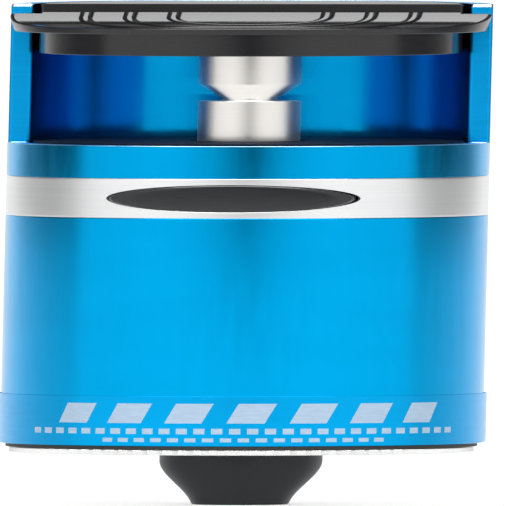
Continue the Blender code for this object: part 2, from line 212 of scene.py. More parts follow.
def settle(obj):
    """Applies the modifiers of an object to its mesh."""
    graph = bpy.context.evaluated_depsgraph_get()
    mesh = bpy.data.meshes.new_from_object(obj.evaluated_get(graph), depsgraph=graph)
    obj.modifiers.clear()
    obj.data = mesh
    mesh.shade_smooth()
    mesh.set_sharp_from_angle(angle=math.radians(SHARP))


def soften(obj, width, angle, clamp):
    """Rounds the edges of a solid that are sharper than an angle in degrees.

    With clamp, the shortest edge of the mesh limits the width everywhere.
    """
    modifier = obj.modifiers.new("soft_edges", "BEVEL")
    modifier.width = width
    modifier.segments = 3
    modifier.limit_method = "ANGLE"
    modifier.angle_limit = math.radians(angle)
    modifier.use_clamp_overlap = clamp
    settle(obj)


def keep_flats_flat(obj):
    """Lets large faces set the shading, so that small roundings don't bend the light on them."""
    modifier = obj.modifiers.new("flats", "WEIGHTED_NORMAL")
    modifier.keep_sharp = True
    modifier.mode = "FACE_AREA"


def repaint(obj, *materials):
    """Gives an object these materials, and its faces the first of them."""
    obj.data.materials.clear()
    for material in materials:
        obj.data.materials.append(material)


def tube_along(name, points, radius, material):
    """A round wire along a list of points."""
    sides = 12
    bm = bmesh.new()
    rows = []
    count = len(points)
    for i, point in enumerate(points):
        ahead = points[min(i + 1, count - 1)] - points[max(i - 1, 0)]
        ahead.normalize()
        out = Vector((point.x, point.y, 0)) if abs(ahead.z) < 0.9 else Vector((1, 0, 0))
        out = (out - out.dot(ahead) * ahead).normalized()
        side = ahead.cross(out)
        turns = [math.tau * k / sides for k in range(sides)]
        spokes = [math.cos(t) * out + math.sin(t) * side for t in turns]
        rows.append([bm.verts.new(point + radius * spoke) for spoke in spokes])
    for below, above in zip(rows, rows[1:]):
        for k in range(sides):
            bm.faces.new([below[k], below[(k + 1) % sides], above[(k + 1) % sides], above[k]])
    bm.faces.new(rows[0])
    bm.faces.new(rows[-1])
    return make_object(name, bm, material)


def stand_for(obj, body, slot, *nodes):
    """The finished piece rides on its body and stands for its CAD nodes."""
    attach(obj, body)
    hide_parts(*nodes)


# ---------------------------------------------------------------- materials


def math_node(tree, operation, *values):
    """Adds a Math node. Each of its values is a number, or the socket that gives it."""
    node = tree.nodes.new("ShaderNodeMath")
    node.operation = operation
    for socket, value in zip(node.inputs, values):
        if isinstance(value, (int, float)):
            socket.default_value = value
        else:
            tree.links.new(value, socket)
    return node.outputs["Value"]


class Surface:
    """A Principled material, with the patterns that this script repeats."""

    def __init__(self, name, color, roughness, metallic=0.0, **sockets):
        self.material = bpy.data.materials.new(name)
        self.material.use_nodes = True
        self.tree = self.material.node_tree
        self.shader = self.tree.nodes["Principled BSDF"]
        self.color = color
        self.roughness = roughness
        self.shader.inputs["Base Color"].default_value = (*color, 1)
        self.shader.inputs["Roughness"].default_value = roughness
        self.shader.inputs["Metallic"].default_value = metallic
        for socket, value in sockets.items():
            self.shader.inputs[socket.replace("_", " ")].default_value = value
        self.coordinates = self.tree.nodes.new("ShaderNodeTexCoord")
        self.bump = None

    def link(self, source, target):
        self.tree.links.new(source, target)

    def noise(self, stretch, detail=3.0, roughness=0.5):
        """Noise in the object's own space. Stretch (x, y, z) is in features per metre."""
        mapping = self.tree.nodes.new("ShaderNodeMapping")
        mapping.inputs["Scale"].default_value = stretch
        self.link(self.coordinates.outputs["Object"], mapping.inputs["Vector"])
        noise = self.tree.nodes.new("ShaderNodeTexNoise")
        noise.inputs["Scale"].default_value = 1.0
        noise.inputs["Detail"].default_value = detail
        noise.inputs["Roughness"].default_value = roughness
        self.link(mapping.outputs["Vector"], noise.inputs["Vector"])
        return noise.outputs["Fac"]

    def spread(self, source, near, far):
        """Maps the middle of a noise to the range from near to far."""
        mapped = self.tree.nodes.new("ShaderNodeMapRange")
        mapped.inputs["From Min"].default_value = 0.3
        mapped.inputs["From Max"].default_value = 0.7
        mapped.inputs["To Min"].default_value = near
        mapped.inputs["To Max"].default_value = far
        self.link(source, mapped.inputs["Value"])
        return mapped.outputs["Result"]

    def vary_color(self, source, amount, tint=None):
        """Colour that wanders between a darker and a lighter shade."""
        mix = self.tree.nodes.new("ShaderNodeMix")
        mix.data_type = "RGBA"
        darker = [c * (1 - amount) for c in self.color]
        lighter = tint or [min(c * (1 + amount), 1.0) for c in self.color]
        mix.inputs["A"].default_value = (*darker, 1)
        mix.inputs["B"].default_value = (*lighter, 1)
        self.link(self.spread(source, 0.0, 1.0), mix.inputs["Factor"])
        self.link(mix.outputs["Result"], self.shader.inputs["Base Color"])
        return self

    def vary_roughness(self, source, amount):
        """Roughness that wanders by an amount to both sides of its own value."""
        wandering = self.spread(source, self.roughness - amount, self.roughness + amount)
        self.link(wandering, self.shader.inputs["Roughness"])
        return self

    def add_bump(self, source, depth):
        """Adds relief, with its depth in metres."""
        bump = self.tree.nodes.new("ShaderNodeBump")
        bump.inputs["Distance"].default_value = depth
        bump.inputs["Strength"].default_value = 1.0
        self.link(source, bump.inputs["Height"])
        if self.bump:
            self.link(self.bump.outputs["Normal"], bump.inputs["Normal"])
        self.bump = bump
        self.link(bump.outputs["Normal"], self.shader.inputs["Normal"])
        return self


ALONG = (1400, 1400, 30)  # lines that run along the pump
AROUND = (60, 60, 1500)  # lines that run round it
GRAIN = (1500, 1500, 1500)
CLOUDS = (120, 120, 60)


def anodised(name, color, roughness, relief):
    """Bright blue anodised aluminium with faint drawing lines, which run along the tube."""
    surface = Surface(name, color, roughness, 1.0)
    lines = surface.noise(ALONG, 2.0)
    surface.vary_color(surface.noise(CLOUDS), 0.03)
    surface.vary_roughness(lines, 0.03)
    surface.add_bump(lines, relief)
    return surface.material


def make_painted_highlight_edge():
    """Edges of the milled window in a pale, nearly silver blue, so that the top light's reflection on them
    comes out white: a painted highlight.
    """
    surface = Surface("painted_highlight_edge", (0.42, 0.66, 0.86), 0.34, 1.0)
    highlight_mottle = surface.noise((500, 500, 500), 3.0)
    surface.vary_color(highlight_mottle, 0.3, tint=(0.60, 0.78, 0.90))
    surface.vary_roughness(highlight_mottle, 0.06)
    return surface.material


def make_milled_blue():
    """The milled edges of the guard, anodised with the rest: rougher, with cutter marks."""
    surface = Surface("milled_blue", (0.004, 0.345, 0.74), 0.42, 1.0)
    marks = surface.noise((300, 300, 2200), 2.0)
    surface.vary_color(marks, 0.06)
    surface.vary_roughness(marks, 0.06)
    surface.add_bump(marks, 0.004 * MM)
    return surface.material


def metal(name, color, roughness, lines, relief, spots=0.02, wander=0.05):
    """Bare metal with a finish of fine lines, and a slow change of sheen over its surface."""
    surface = Surface(name, color, roughness, 1.0)
    pattern = surface.noise(lines, 1.0, 0.4)
    surface.vary_color(pattern, spots)
    surface.vary_roughness(surface.noise(CLOUDS, 1.0), wander)
    surface.add_bump(pattern, relief)
    return surface.material


def plastic(name, color, roughness, relief, grain=GRAIN, specular=0.5):
    """Moulded plastic: a fine spark-eroded grain, a little dust and slow changes of gloss."""
    surface = Surface(name, color, roughness, Specular_IOR_Level=specular)
    fine = surface.noise(grain, 3.0)
    surface.vary_color(surface.noise((700, 700, 700), 5.0, 0.7), 0.12)
    surface.vary_roughness(surface.noise(CLOUDS, 4.0), 0.04)
    surface.add_bump(fine, relief)
    return surface.material


def make_film_material():
    """Clear film over the blue tube: a smoother gloss, and bubbles too small to see singly."""
    coat = {"Coat_Weight": 0.2, "Coat_IOR": 1.2, "Coat_Roughness": 0.08}
    surface = Surface("printed_film", (0.001, 0.385, 0.80), 0.23, 1.0, **coat)
    surface.vary_color(surface.noise(CLOUDS), 0.03)
    surface.vary_roughness(surface.noise((500, 500, 500)), 0.03)
    surface.add_bump(surface.noise((180, 180, 180), 2.0), 0.004 * MM)
    return surface.material


def make_print_material():
    """Screen print: pale grey ink that lets a little of the blue through."""
    surface = Surface("pale_ink", (0.43, 0.57, 0.72), 0.5, 0.35)
    surface.vary_color(surface.noise((1600, 1600, 1600), 4.0), 0.07)
    surface.vary_roughness(surface.noise(GRAIN), 0.05)
    surface.add_bump(surface.noise(GRAIN), 0.001 * MM)
    return surface.material


OUTER_BLUE = anodised("anodised_blue", (0.0005, 0.385, 0.785), 0.175, 0.0008 * MM)
# A darker copy of the outer blue for the bore, which lies in the tube's shade: painted shade
BORE_BLUE_PAINTED_SHADE = anodised("anodised_blue_bore_painted_shade", (0.0005, 0.31, 0.66), 0.17, 0.0006 * MM)
MILLED_BLUE = make_milled_blue()
# Pale colour for the guard's rounded top corners and lip: a painted highlight
PAINTED_HIGHLIGHT_EDGE = make_painted_highlight_edge()
COLLAR_METAL = metal("brushed_collar", (0.86, 0.865, 0.87), 0.31, AROUND, 0.0012 * MM, wander=0.03)
TURNED_METAL = metal("turned_aluminium", (0.88, 0.885, 0.88), 0.33, AROUND, 0.0015 * MM)
KNURLED_METAL = metal("knurled_aluminium", (0.90, 0.90, 0.89), 0.36, GRAIN, 0.002 * MM)
ROD_STEEL = metal("bright_steel", (0.84, 0.815, 0.78), 0.32, (60, 60, 9000), 0.001 * MM, 0.05, 0.04)
SPRING_STEEL = metal("spring_steel", (0.55, 0.55, 0.56), 0.33, (900, 900, 900), 0.002 * MM, 0.06)
BRASS = metal("brass", (0.76, 0.60, 0.30), 0.33, AROUND, 0.0015 * MM)
PAD_PLASTIC = plastic("black_plastic", (0.014, 0.014, 0.0155), 0.17, 0.0006 * MM)
# Black plastic with little gloss, whose blue tint is a painted reflection of the blue bore round the plug
PLUG_PLASTIC_PAINTED_REFLECTION = plastic("plug_plastic_painted_reflection", (0.003, 0.007, 0.018), 0.6, 0.0012 * MM, specular=0.06)
BUTTON_PLASTIC = plastic("button_plastic", (0.017, 0.018, 0.020), 0.22, 0.0006 * MM)
NOZZLE_PLASTIC = plastic("nozzle_black", (0.0065, 0.007, 0.0095), 0.42, 0.010 * MM, (1300, 1300, 1300), 0.35)
ACETAL = plastic("acetal", (0.75, 0.75, 0.72), 0.40, 0.001 * MM)
RUBBER = plastic("black_rubber", (0.02, 0.02, 0.021), 0.62, 0.003 * MM, (1800, 1800, 1800), 0.4)
FILM = make_film_material()
INK = make_print_material()


# ---------------------------------------------------------------- tubes


def make_guard():
    """The upper tube: a full ring up to the lip, and its back half above it."""
    foot = low("guard_tube").z
    foot_edge, top_edge, bore_edge = 0.12 * MM, 0.30 * MM, 0.15 * MM
    cut_edge = 0.16 * MM
    corner = 1.5 * MM
    beyond = BODY_RADIUS + MM
    corners = [(BORE_RADIUS, foot, foot_edge), (BODY_RADIUS, foot, foot_edge)]
    corners += [(BODY_RADIUS, GUARD_TOP, top_edge), (BORE_RADIUS, GUARD_TOP, bore_edge)]
    guard = turned("guard_tube_fine", filleted(corners), OUTER_BLUE)
    window = front_cutter("window_cutter", GUARD_LIP, GUARD_TOP + MM)
    round_top = [(-MM, GUARD_TOP + MM), (corner, GUARD_TOP + MM)]
    round_top += [*arc((corner, GUARD_TOP - corner), corner, 90, 180, 10), (-MM, GUARD_TOP - corner)]
    combine(guard, "DIFFERENCE", window, prism("corner_cutter", round_top, -beyond, beyond, "X"))
    soften(guard, cut_edge, 60, False)
    repaint(guard, OUTER_BLUE, BORE_BLUE_PAINTED_SHADE, MILLED_BLUE, PAINTED_HIGHLIGHT_EDGE)
    outer, inner, milled, painted_highlight = range(4)
    square = 0.98  # the least cosine between a face's normal and a direction that it squarely faces
    middle = (BORE_RADIUS + BODY_RADIUS) / 2
    for face in guard.data.polygons:
        center = face.center
        radial = Vector((center.x, center.y, 0)).normalized()
        is_wall = abs(face.normal.dot(radial)) > square
        is_lip = abs(center.z - GUARD_LIP) < 2 * cut_edge and abs(face.normal.z) < square
        is_corner = center.z > GUARD_TOP - corner and 0.15 < face.normal.z < square
        if is_wall:
            face.material_index = inner if math.hypot(center.x, center.y) < middle else outer
        # The rounded top corners and the lip take the pale colour of the painted highlight
        elif is_corner or is_lip:
            face.material_index = painted_highlight
        else:
            face.material_index = milled
    keep_flats_flat(guard)
    stand_for(guard, "housing", "anodised_blue", "guard_tube")


def make_barrel():
    lower, upper = low("barrel_tube"), high("barrel_tube")
    outline = ring(BORE_RADIUS, BODY_RADIUS, lower.z, upper.z, 0.2 * MM)
    barrel = turned("barrel_tube_fine", outline, OUTER_BLUE)
    stand_for(barrel, "housing", "anodised_blue", "barrel_tube")


def make_film():
    lower, upper = low("label_film"), high("label_film")
    gap, edge = 0.03 * MM, 0.03 * MM
    outline = ring(BODY_RADIUS + gap, upper.x, lower.z, upper.z, edge)
    film = turned("label_film_fine", outline, FILM)
    stand_for(film, "housing", "printed_film", "label_film")


def wrapped(radius, along, height):
    """A point on the film: along is the distance round it from the front, to the right."""
    angle = along / radius
    return Vector((radius * math.sin(angle), -radius * math.cos(angle), height))


def add_mark(bm, corners, radius, thickness):
    """A thin slab of ink that follows the film, from four corners given as (along, height)."""
    steps = 10
    lower_left, lower_right, upper_right, upper_left = corners

    def edge(layer, left, right):
        """Vertices along the foot or the head of the slab."""
        marks = [left[0] + (right[0] - left[0]) * i / steps for i in range(steps + 1)]
        return [bm.verts.new(wrapped(layer, along, left[1])) for along in marks]

    foot, head = edge(radius, lower_left, lower_right), edge(radius, upper_left, upper_right)
    outside = radius + thickness
    foot_out, head_out = edge(outside, lower_left, lower_right), edge(outside, upper_left, upper_right)
    for i in range(steps):
        bm.faces.new([foot_out[i], foot_out[i + 1], head_out[i + 1], head_out[i]])
        bm.faces.new([foot[i], head[i], head[i + 1], foot[i + 1]])
        bm.faces.new([foot[i], foot[i + 1], foot_out[i + 1], foot_out[i]])
        bm.faces.new([head[i], head_out[i], head_out[i + 1], head[i + 1]])
    bm.faces.new([foot[0], foot_out[0], head_out[0], head[0]])
    bm.faces.new([foot[-1], head[-1], head_out[-1], foot_out[-1]])


def make_print():
    """Marks with no meaning in the places of the print: a band of slanted bars and two dotted rows."""
    film = high("label_film")
    thickness = 0.006 * MM
    bm = bmesh.new()

    def bar(start, width, foot, top, slant):
        """A bar with a level foot and a level top, which is shifted by the slant."""
        corners = [(start, foot), (start + width, foot), (start + width + slant, top), (start + slant, top)]
        add_mark(bm, corners, film.x, thickness)

    band_foot = film.z - 11.2 * MM
    band_top = film.z - 3.0 * MM
    bars = 7
    bar_width, slant, pitch = 1.75 * MM, 0.55 * MM, 2.9 * MM
    band_shift, row_shift = 1.5 * MM, 1.0 * MM  # to the right of the front's middle
    for i in range(bars):
        bar((i - bars / 2) * pitch + band_shift, bar_width, band_foot, band_top, slant)
    dash, gap = 0.52 * MM, 0.30 * MM
    for drop, dashes, tall in ((13.4 * MM, 28, 2.3 * MM), (17.4 * MM, 17, 1.6 * MM)):
        top = film.z - drop
        for i in range(dashes):
            bar((i - dashes / 2) * (dash + gap) + row_shift, dash, top - tall, top, 0.0)
    marks = make_object("label_print", bm, INK)
    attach(marks, "housing")


# ---------------------------------------------------------------- trigger


def make_collar():
    """A band with a round hole, laid out as rings round the hole that grow into a rectangle."""
    foot, top = low("trigger_collar").z, high("trigger_collar").z
    hole = 5.72 * MM
    chamfer = 0.09 * MM
    reach = math.radians(48)
    per_side = 24
    edge = 0.12 * MM
    edge_steps = 3
    rings = 12
    crowding = 1.6  # the rings lie closer together near the hole
    heights = [foot + edge + (top - foot - 2 * edge) * k / per_side for k in range(per_side + 1)]
    angles = [-reach + 2 * reach * k / per_side for k in range(per_side + 1)]

    # Points round the edge of the plate, as (angle, height), from its lower left corner
    outside = [(angle, heights[0]) for angle in angles[:-1]]
    outside += [(reach, height) for height in heights[:-1]]
    outside += [(-angle, heights[-1]) for angle in angles[:-1]]
    outside += [(-reach, height) for height in heights[:0:-1]]
    bm = bmesh.new()

    def on_band(radius, angle, height):
        return bm.verts.new((radius * math.sin(angle), -radius * math.cos(angle), height))

    def layer(radius, hole_radius):
        """Rows of vertices from the hole out to the rectangle, at one radius of the band."""
        rows = []
        for i in range(rings + 1):
            share = (i / rings) ** crowding
            row = []
            for angle, height in outside:
                flat = Vector((radius * angle, height - BUTTON_HEIGHT))
                toward = flat.normalized() * hole_radius
                circle_angle = math.asin(toward.x / radius)
                here_angle = circle_angle + (angle - circle_angle) * share
                here_height = BUTTON_HEIGHT + toward.y + (height - BUTTON_HEIGHT - toward.y) * share
                row.append(on_band(radius, here_angle, here_height))
            rows.append(row)
        return rows

    def skin(rows, closed=True):
        """Faces between rows of vertices, whose ends meet if they are closed."""
        for near, far in zip(rows, rows[1:]):
            count = len(near)
            for k in range(count if closed else count - 1):
                following = (k + 1) % count
                bm.faces.new([near[k], near[following], far[following], far[k]])

    outer = layer(BODY_RADIUS, hole + chamfer)
    inner = layer(BORE_RADIUS, hole)
    lip = []
    for vert in outer[0]:
        flat = Vector((vert.co.x, vert.co.z - BUTTON_HEIGHT)).normalized() * hole
        depth = math.sqrt((BODY_RADIUS - chamfer) ** 2 - flat.x**2)
        lip.append(bm.verts.new((flat.x, -depth, BUTTON_HEIGHT + flat.y)))
    skin(outer)
    skin(inner)
    skin([outer[0], lip, inner[0]])

    back_steps = 96
    back = [reach + (math.tau - 2 * reach) * i / back_steps for i in range(back_steps + 1)]
    for radius in (BODY_RADIUS, BORE_RADIUS):
        skin([[on_band(radius, angle, height) for height in heights] for angle in back], closed=False)

    for level, sign in ((foot, 1), (top, -1)):
        rims = []
        for k in range(edge_steps + 1):
            turn = math.pi / 2 * k / edge_steps
            out = BODY_RADIUS - edge * (1 - math.cos(turn))
            rims.append((out, level + sign * edge * (1 - math.sin(turn))))
        rims.append((BORE_RADIUS + edge, level))
        rims.append((BORE_RADIUS, level + sign * edge))
        full_turn = angles[:-1] + back[:-1]
        skin([[on_band(radius, angle, height) for angle in full_turn] for radius, height in rims])
    collar = make_object("trigger_collar_fine", bm, COLLAR_METAL, 50)
    stand_for(collar, "housing", "bare_aluminium", "trigger_collar")


def make_button():
    """A flanged round button with a soft edge and a slightly domed face."""
    radius = 5.6 * MM
    flange = high("button_cap").x
    back = high("button_cap").y
    flange_front = back - 1.0 * MM
    dome = 0.16 * MM
    steps = 8
    edge = 0.55 * MM  # of the face goes into the soft edge
    face_rim = -BUTTON_FRONT - dome
    soft, fine = 0.2 * MM, 0.1 * MM
    corners = [(0.0, -back, 0)]
    for i in range(steps + 1):
        corners.append(((radius - edge) * i / steps, -BUTTON_FRONT - dome * (i / steps) ** 2, 0))
    corners += [(radius - 0.12 * MM, face_rim - 0.28 * MM, soft), (radius, face_rim - 0.7 * MM, soft)]
    corners += [(radius, -flange_front, fine), (flange, -flange_front, fine), (flange, -back, fine)]
    button = turned("button_cap_fine", filleted(corners), BUTTON_PLASTIC, MEDIUM * 2, 50)
    facing = Matrix.Rotation(math.radians(90), 4, "X")
    button.data.transform(Matrix.Translation((0, 0, BUTTON_HEIGHT)) @ facing)
    stand_for(button, "button", "black_plastic", "button_cap")


# ---------------------------------------------------------------- plunger


def make_thumb_pad():
    """The pad: a round body with a half-round block behind, and a wide front scooped for the thumb."""
    foot, top = low("thumb_pad").z, high("thumb_pad").z
    edge, cut_edge = 0.35 * MM, 0.22 * MM
    pad = turned("thumb_pad_fine", disc(PAD_RADIUS, foot, top, edge), PAD_PLASTIC)
    combine(pad, "DIFFERENCE", front_cutter("above_front", RIM_FOOT + MM, top + MM))
    soften(pad, cut_edge, 42, True)
    combine(pad, "UNION", make_scoop())
    socket = arc((0, 0), ROD_RADIUS + FIT, 0, 360, MEDIUM)[:-1]
    socket_top = high("plunger_rod").z + FIT
    combine(pad, "DIFFERENCE", prism("pad_socket", socket, foot - MM, socket_top))
    repaint(pad, PAD_PLASTIC)
    keep_flats_flat(pad)
    stand_for(pad, "plunger", "black_plastic", "thumb_pad")


def make_scoop():
    """The wide front of the pad.

    Its grid follows the ridges. Each row runs out from the middle, over the ridges, down the
    outer wall and back under the pad. The rows fan out round the ridges' own centre in front,
    and stay parallel where the ridges run straight back into the block.
    """
    bend = -1.0 * MM  # the ridges' own centre, along Y
    inside = 0.5 * MM  # how far the grid runs into the block
    fan, parallel = 96, 5  # steps
    rows = []
    for i in range(parallel):
        y = inside + (bend - inside) * i / parallel
        rows.append((Vector((0, y)), Vector((-1, 0))))
    for i in range(fan + 1):
        angle = math.pi * i / fan
        rows.append((Vector((0, bend)), Vector((-math.cos(angle), -math.sin(angle)))))
    for i in range(parallel):
        y = bend + (inside - bend) * (i + 1) / parallel
        rows.append((Vector((0, y)), Vector((1, 0))))

    bm = bmesh.new()
    columns = []
    for i, (start, direction) in enumerate(rows):
        is_end = i in (0, len(rows) - 1)
        columns.append([bm.verts.new(point) for point in scoop_row(start, direction, is_end)])
    for near, far in zip(columns, columns[1:]):
        for k in range(len(near) - 1):
            bm.faces.new([near[k], near[k + 1], far[k + 1], far[k]])
    bm.faces.new(columns[0] + columns[-1][-2:0:-1])
    scoop = make_object("scoop", bm)

    # Behind the edges of the guard, the front is only as wide as the block
    inner, outer, back = PAD_RADIUS - 0.1 * MM, BODY_RADIUS + 2 * MM, 2 * MM
    for side in (-1, 1):
        corners = ((inner, -PAD_GAP), (outer, -PAD_GAP), (outer, back), (inner, back))
        ear = [(x * side, y) for x, y in corners]
        combine(scoop, "DIFFERENCE", prism("behind_ear", ear, RIM_FOOT - MM, GUARD_TOP + MM))
    return scoop


def scoop_row(start, direction, is_end):
    """One row of the scoop's grid. The rows at its two ends are plain, so that they lie in a plane."""
    ridge_width, ridge_height = 0.33 * MM, 0.42 * MM  # half of its width, and its height
    edge, foot_edge = 0.26 * MM, 0.42 * MM
    ridge_steps, edge_steps = 8, 5

    def place(distance, rise):
        """A point over the scoop, raised square to its surface, up to where the block begins."""
        flat = start + direction * distance
        across = flat.y - SCOOP_START
        if across < 0:
            return Vector((flat.x, flat.y, RIM_TOP + rise))
        tilt = math.asin(across / SCOOP_RADIUS)
        depth = SCOOP_RADIUS - rise
        y = SCOOP_START + depth * math.sin(tilt)
        height = RIM_TOP + SCOOP_RADIUS - depth * math.cos(tilt)
        return Vector((flat.x, y, min(height, SCOOP_TOP)))

    def wall_radius(height):
        """The rim widens from its foot up."""
        share = (height - RIM_FOOT) / (RIM_FULL - RIM_FOOT)
        return RIM_RADIUS + (BODY_RADIUS - RIM_RADIUS) * min(share, 1.0)

    # The height at the wall depends on its radius, and its radius on the height
    along = start.dot(direction)
    radius = BODY_RADIUS
    for _ in range(4):
        reach = -along + math.sqrt(along**2 - start.length_squared + radius**2)
        radius = wall_radius(place(reach, 0.0).z)

    points = []

    def flat_run(begin, end, steps):
        """Points without relief, up to but not at the end."""
        for i in range(steps):
            points.append((begin + (end - begin) * i / steps, 0.0))

    # Three nested ridges, at these distances from the middle
    begin, steps = 0.0, 10
    for half in (3.5 * MM, 5.5 * MM, 7.5 * MM):
        flat_run(begin, half - ridge_width, steps)
        for i in range(ridge_steps + 1):
            turn = math.pi * i / ridge_steps
            points.append((half - ridge_width * math.cos(turn), ridge_height * math.sin(turn)))
        begin, steps = half + ridge_width, 5
    points.pop()
    flat_run(begin, reach - edge, 7)
    for i in range(edge_steps + 1):
        turn = math.pi / 2 * i / edge_steps
        points.append((reach - edge * (1 - math.sin(turn)), -edge * (1 - math.cos(turn))))
    row = [place(distance, 0.0 if is_end else rise) for distance, rise in points]

    last = row[-1]
    outward = Vector((last.x, last.y)).normalized()
    row[-1] = Vector((*(outward * wall_radius(last.z)), last.z))
    for i in range(edge_steps + 1):
        turn = math.pi / 2 * i / edge_steps
        rim = RIM_RADIUS - foot_edge * (1 - math.cos(turn))
        if is_end:
            spot = (math.copysign(math.sqrt(rim**2 - last.y**2), last.x), last.y)
        else:
            spot = outward * rim
        row.append(Vector((*spot, RIM_FOOT + foot_edge * (1 - math.sin(turn)))))
    row.append(Vector((start.x, start.y, RIM_FOOT)))
    return row


def make_rod():
    """The plunger rod: ground steel, with a turned groove that ends in a square shoulder."""
    top = high("plunger_rod").z
    foot = low("plunger_rod").z
    neck = 1.25 * MM
    thread = 1.5 * MM
    groove_top, neck_top, shoulder = 175.2 * MM, 169.1 * MM, 168.2 * MM
    step = 105.45 * MM
    hole, hole_top = 0.7 * MM, foot + 5.0 * MM  # for the cleaning pin
    corners = [
        (0.0, top, 0),
        (0.0, hole_top, 0),
        (hole, hole_top, 0),
        (hole, foot, 0.1 * MM),
        (thread, foot, 0.1 * MM),
        (thread, step, 0),
        (ROD_RADIUS, step, 0.1 * MM),
        (ROD_RADIUS, shoulder, 0.12 * MM),
        (neck, shoulder, 0.15 * MM),
        (neck, neck_top, 0.3 * MM),
        (ROD_RADIUS, groove_top, 0.25 * MM),
        (ROD_RADIUS, top, 0.2 * MM),
    ]
    rod = turned("plunger_rod_fine", filleted(corners), ROD_STEEL, MEDIUM)
    stand_for(rod, "plunger", "bright_steel", "plunger_rod")


# ---------------------------------------------------------------- nose


def make_nose_cap():
    """A knurled rim with V teeth that run out into chamfers, on a spigot bored as a cup."""
    foot = low("nose_cap").z
    knurl_top = 24.2 * MM
    spigot_top = high("nose_cap").z
    radius = high("nose_cap").x
    teeth, per_tooth = 90, 4
    sides = teeth * per_tooth
    depth = 0.24 * MM
    chamfer = 0.3 * MM
    up, inset = 0.12 * MM, 0.14 * MM  # a ring half way up the chamfer, where the teeth fade out
    spigot, spigot_edge = 9.85 * MM, 0.2 * MM
    cup, cup_floor = 8.6 * MM, 26.6 * MM
    hole, hole_edge = 3.87 * MM, 0.1 * MM
    bm = bmesh.new()

    def circle(z, radii):
        """A row of vertices at one height, whose radii repeat round it."""
        row = []
        for k in range(sides):
            r, turn = radii[k % len(radii)], math.tau * k / sides
            row.append(bm.verts.new((r * math.cos(turn), r * math.sin(turn), z)))
        return row

    rows = []
    for height, narrower, share in (
        (foot, chamfer, 0.0),
        (foot + up, inset, 0.6),
        (foot + chamfer, 0.0, 1.0),
        (knurl_top - chamfer, 0.0, 1.0),
        (knurl_top - up, inset, 0.6),
        (knurl_top, chamfer, 0.0),
    ):
        valleys = [abs(k / per_tooth - 0.5) * 2 * share + 0.5 * (1 - share) for k in range(per_tooth)]
        rows.append(circle(height, [radius - narrower - depth * valley for valley in valleys]))
    for r, z in (
        (spigot, knurl_top),
        (spigot, spigot_top - spigot_edge),
        (spigot - spigot_edge, spigot_top),
        (cup, spigot_top),
        (cup, cup_floor),
        (hole, cup_floor),
        (hole, foot + hole_edge),
        (hole + hole_edge, foot),
    ):
        rows.append(circle(z, [r]))
    for below, above in zip(rows, rows[1:] + rows[:1]):
        for k in range(sides):
            following = (k + 1) % sides
            bm.faces.new([below[k], below[following], above[following], above[k]])
    nose = make_object("nose_cap_fine", bm, KNURLED_METAL, 30)
    stand_for(nose, "housing", "bare_aluminium", "nose_cap")


def make_nozzle():
    """The nozzle: it eases from its full width at the nose down to the tip, and is bored through."""
    foot = 0.0
    nose_face = low("nose_cap").z
    radius, tip = 3.72 * MM, 2.2 * MM
    taper_foot, taper_length = -1.2 * MM, 19.5 * MM
    bore, throat, funnel_foot, funnel_top = 1.2 * MM, 1.6 * MM, 2.4 * MM, 4.6 * MM
    throat_height, funnel_height = 10 * MM, 24.9 * MM
    flange, flange_foot, flange_top = high("nozzle_tip").x, 27.9 * MM, high("nozzle_tip").z
    bore_edge, edge = 0.1 * MM, 0.28 * MM
    steps, edge_steps = 40, 4

    def outside(height):
        """The radius eases in and out, as a smoothstep does."""
        t = min(max((height - taper_foot) / taper_length, 0.0), 1.0)
        return tip + (radius - tip) * t * t * (3 - 2 * t)

    points = [(bore, foot + bore_edge), (bore + bore_edge, foot)]
    for i in range(edge_steps + 1):
        turn = math.pi / 2 * i / edge_steps
        points.append((tip - edge * (1 - math.sin(turn)), foot + edge * (1 - math.cos(turn))))
    for i in range(1, steps + 1):
        height = edge + (nose_face - edge) * i / steps
        points.append((outside(height), height))
    points += [(radius, flange_foot), (flange, flange_foot), (flange, flange_top)]
    points += [(funnel_top, flange_top), (funnel_foot, funnel_height), (throat, throat_height)]
    nozzle = turned("nozzle_tip_fine", points, NOZZLE_PLASTIC, MEDIUM, 45)
    stand_for(nozzle, "housing", "nozzle_black", "nozzle_tip")


# ---------------------------------------------------------------- springs and turned pieces


def coil_points(radius, wire, foot, top, turns, per_turn):
    """The line of a compression spring about Z with one closed turn at each end."""
    closed_pitch = 2.15 * wire  # a little more than the wire is thick
    free = turns - 2
    open_pitch = (top - foot - 2 * wire - 2 * closed_pitch) / free
    points = []
    for i in range(turns * per_turn + 1):
        turn = i / per_turn
        ends = min(turn, 1.0) + max(turn - 1.0 - free, 0.0)
        height = foot + wire + closed_pitch * ends + open_pitch * min(max(turn - 1.0, 0.0), free)
        angle = math.tau * turn
        points.append(Vector((radius * math.cos(angle), radius * math.sin(angle), height)))
    return points


def make_main_spring():
    lower, upper = low("main_spring"), high("main_spring")
    wire = 0.6 * MM
    radius = 7.55 * MM
    points = coil_points(radius, wire, lower.z, upper.z, turns=12, per_turn=48)
    spring = tube_along("main_spring_fine", points, wire, SPRING_STEEL)
    stand_for(spring, "housing", "spring_steel", "main_spring")
    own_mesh(spring)


def make_latch_spring():
    lower, upper = low("latch_spring"), high("latch_spring")
    wire = 0.17 * MM
    radius = 1.4 * MM
    middle = (lower.z + upper.z) / 2
    points = coil_points(radius, wire, lower.y, upper.y, turns=5, per_turn=32)
    spring = tube_along("latch_spring_fine", points, wire, SPRING_STEEL)
    spring.data.transform(Matrix.Translation((0, 0, middle)) @ Matrix.Rotation(math.radians(-90), 4, "X"))
    stand_for(spring, "housing", "spring_steel", "latch_spring")
    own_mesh(spring)


def make_ring_piece(node, body, slot, material, inner, rounding, sides=MEDIUM):
    """A fine version of a plain turned ring: its outside and heights come from the CAD node."""
    lower, upper = low(node), high(node)
    outline = ring(inner, upper.x, lower.z, upper.z, rounding)
    stand_for(turned(node + "_fine", outline, material, sides), body, slot, node)


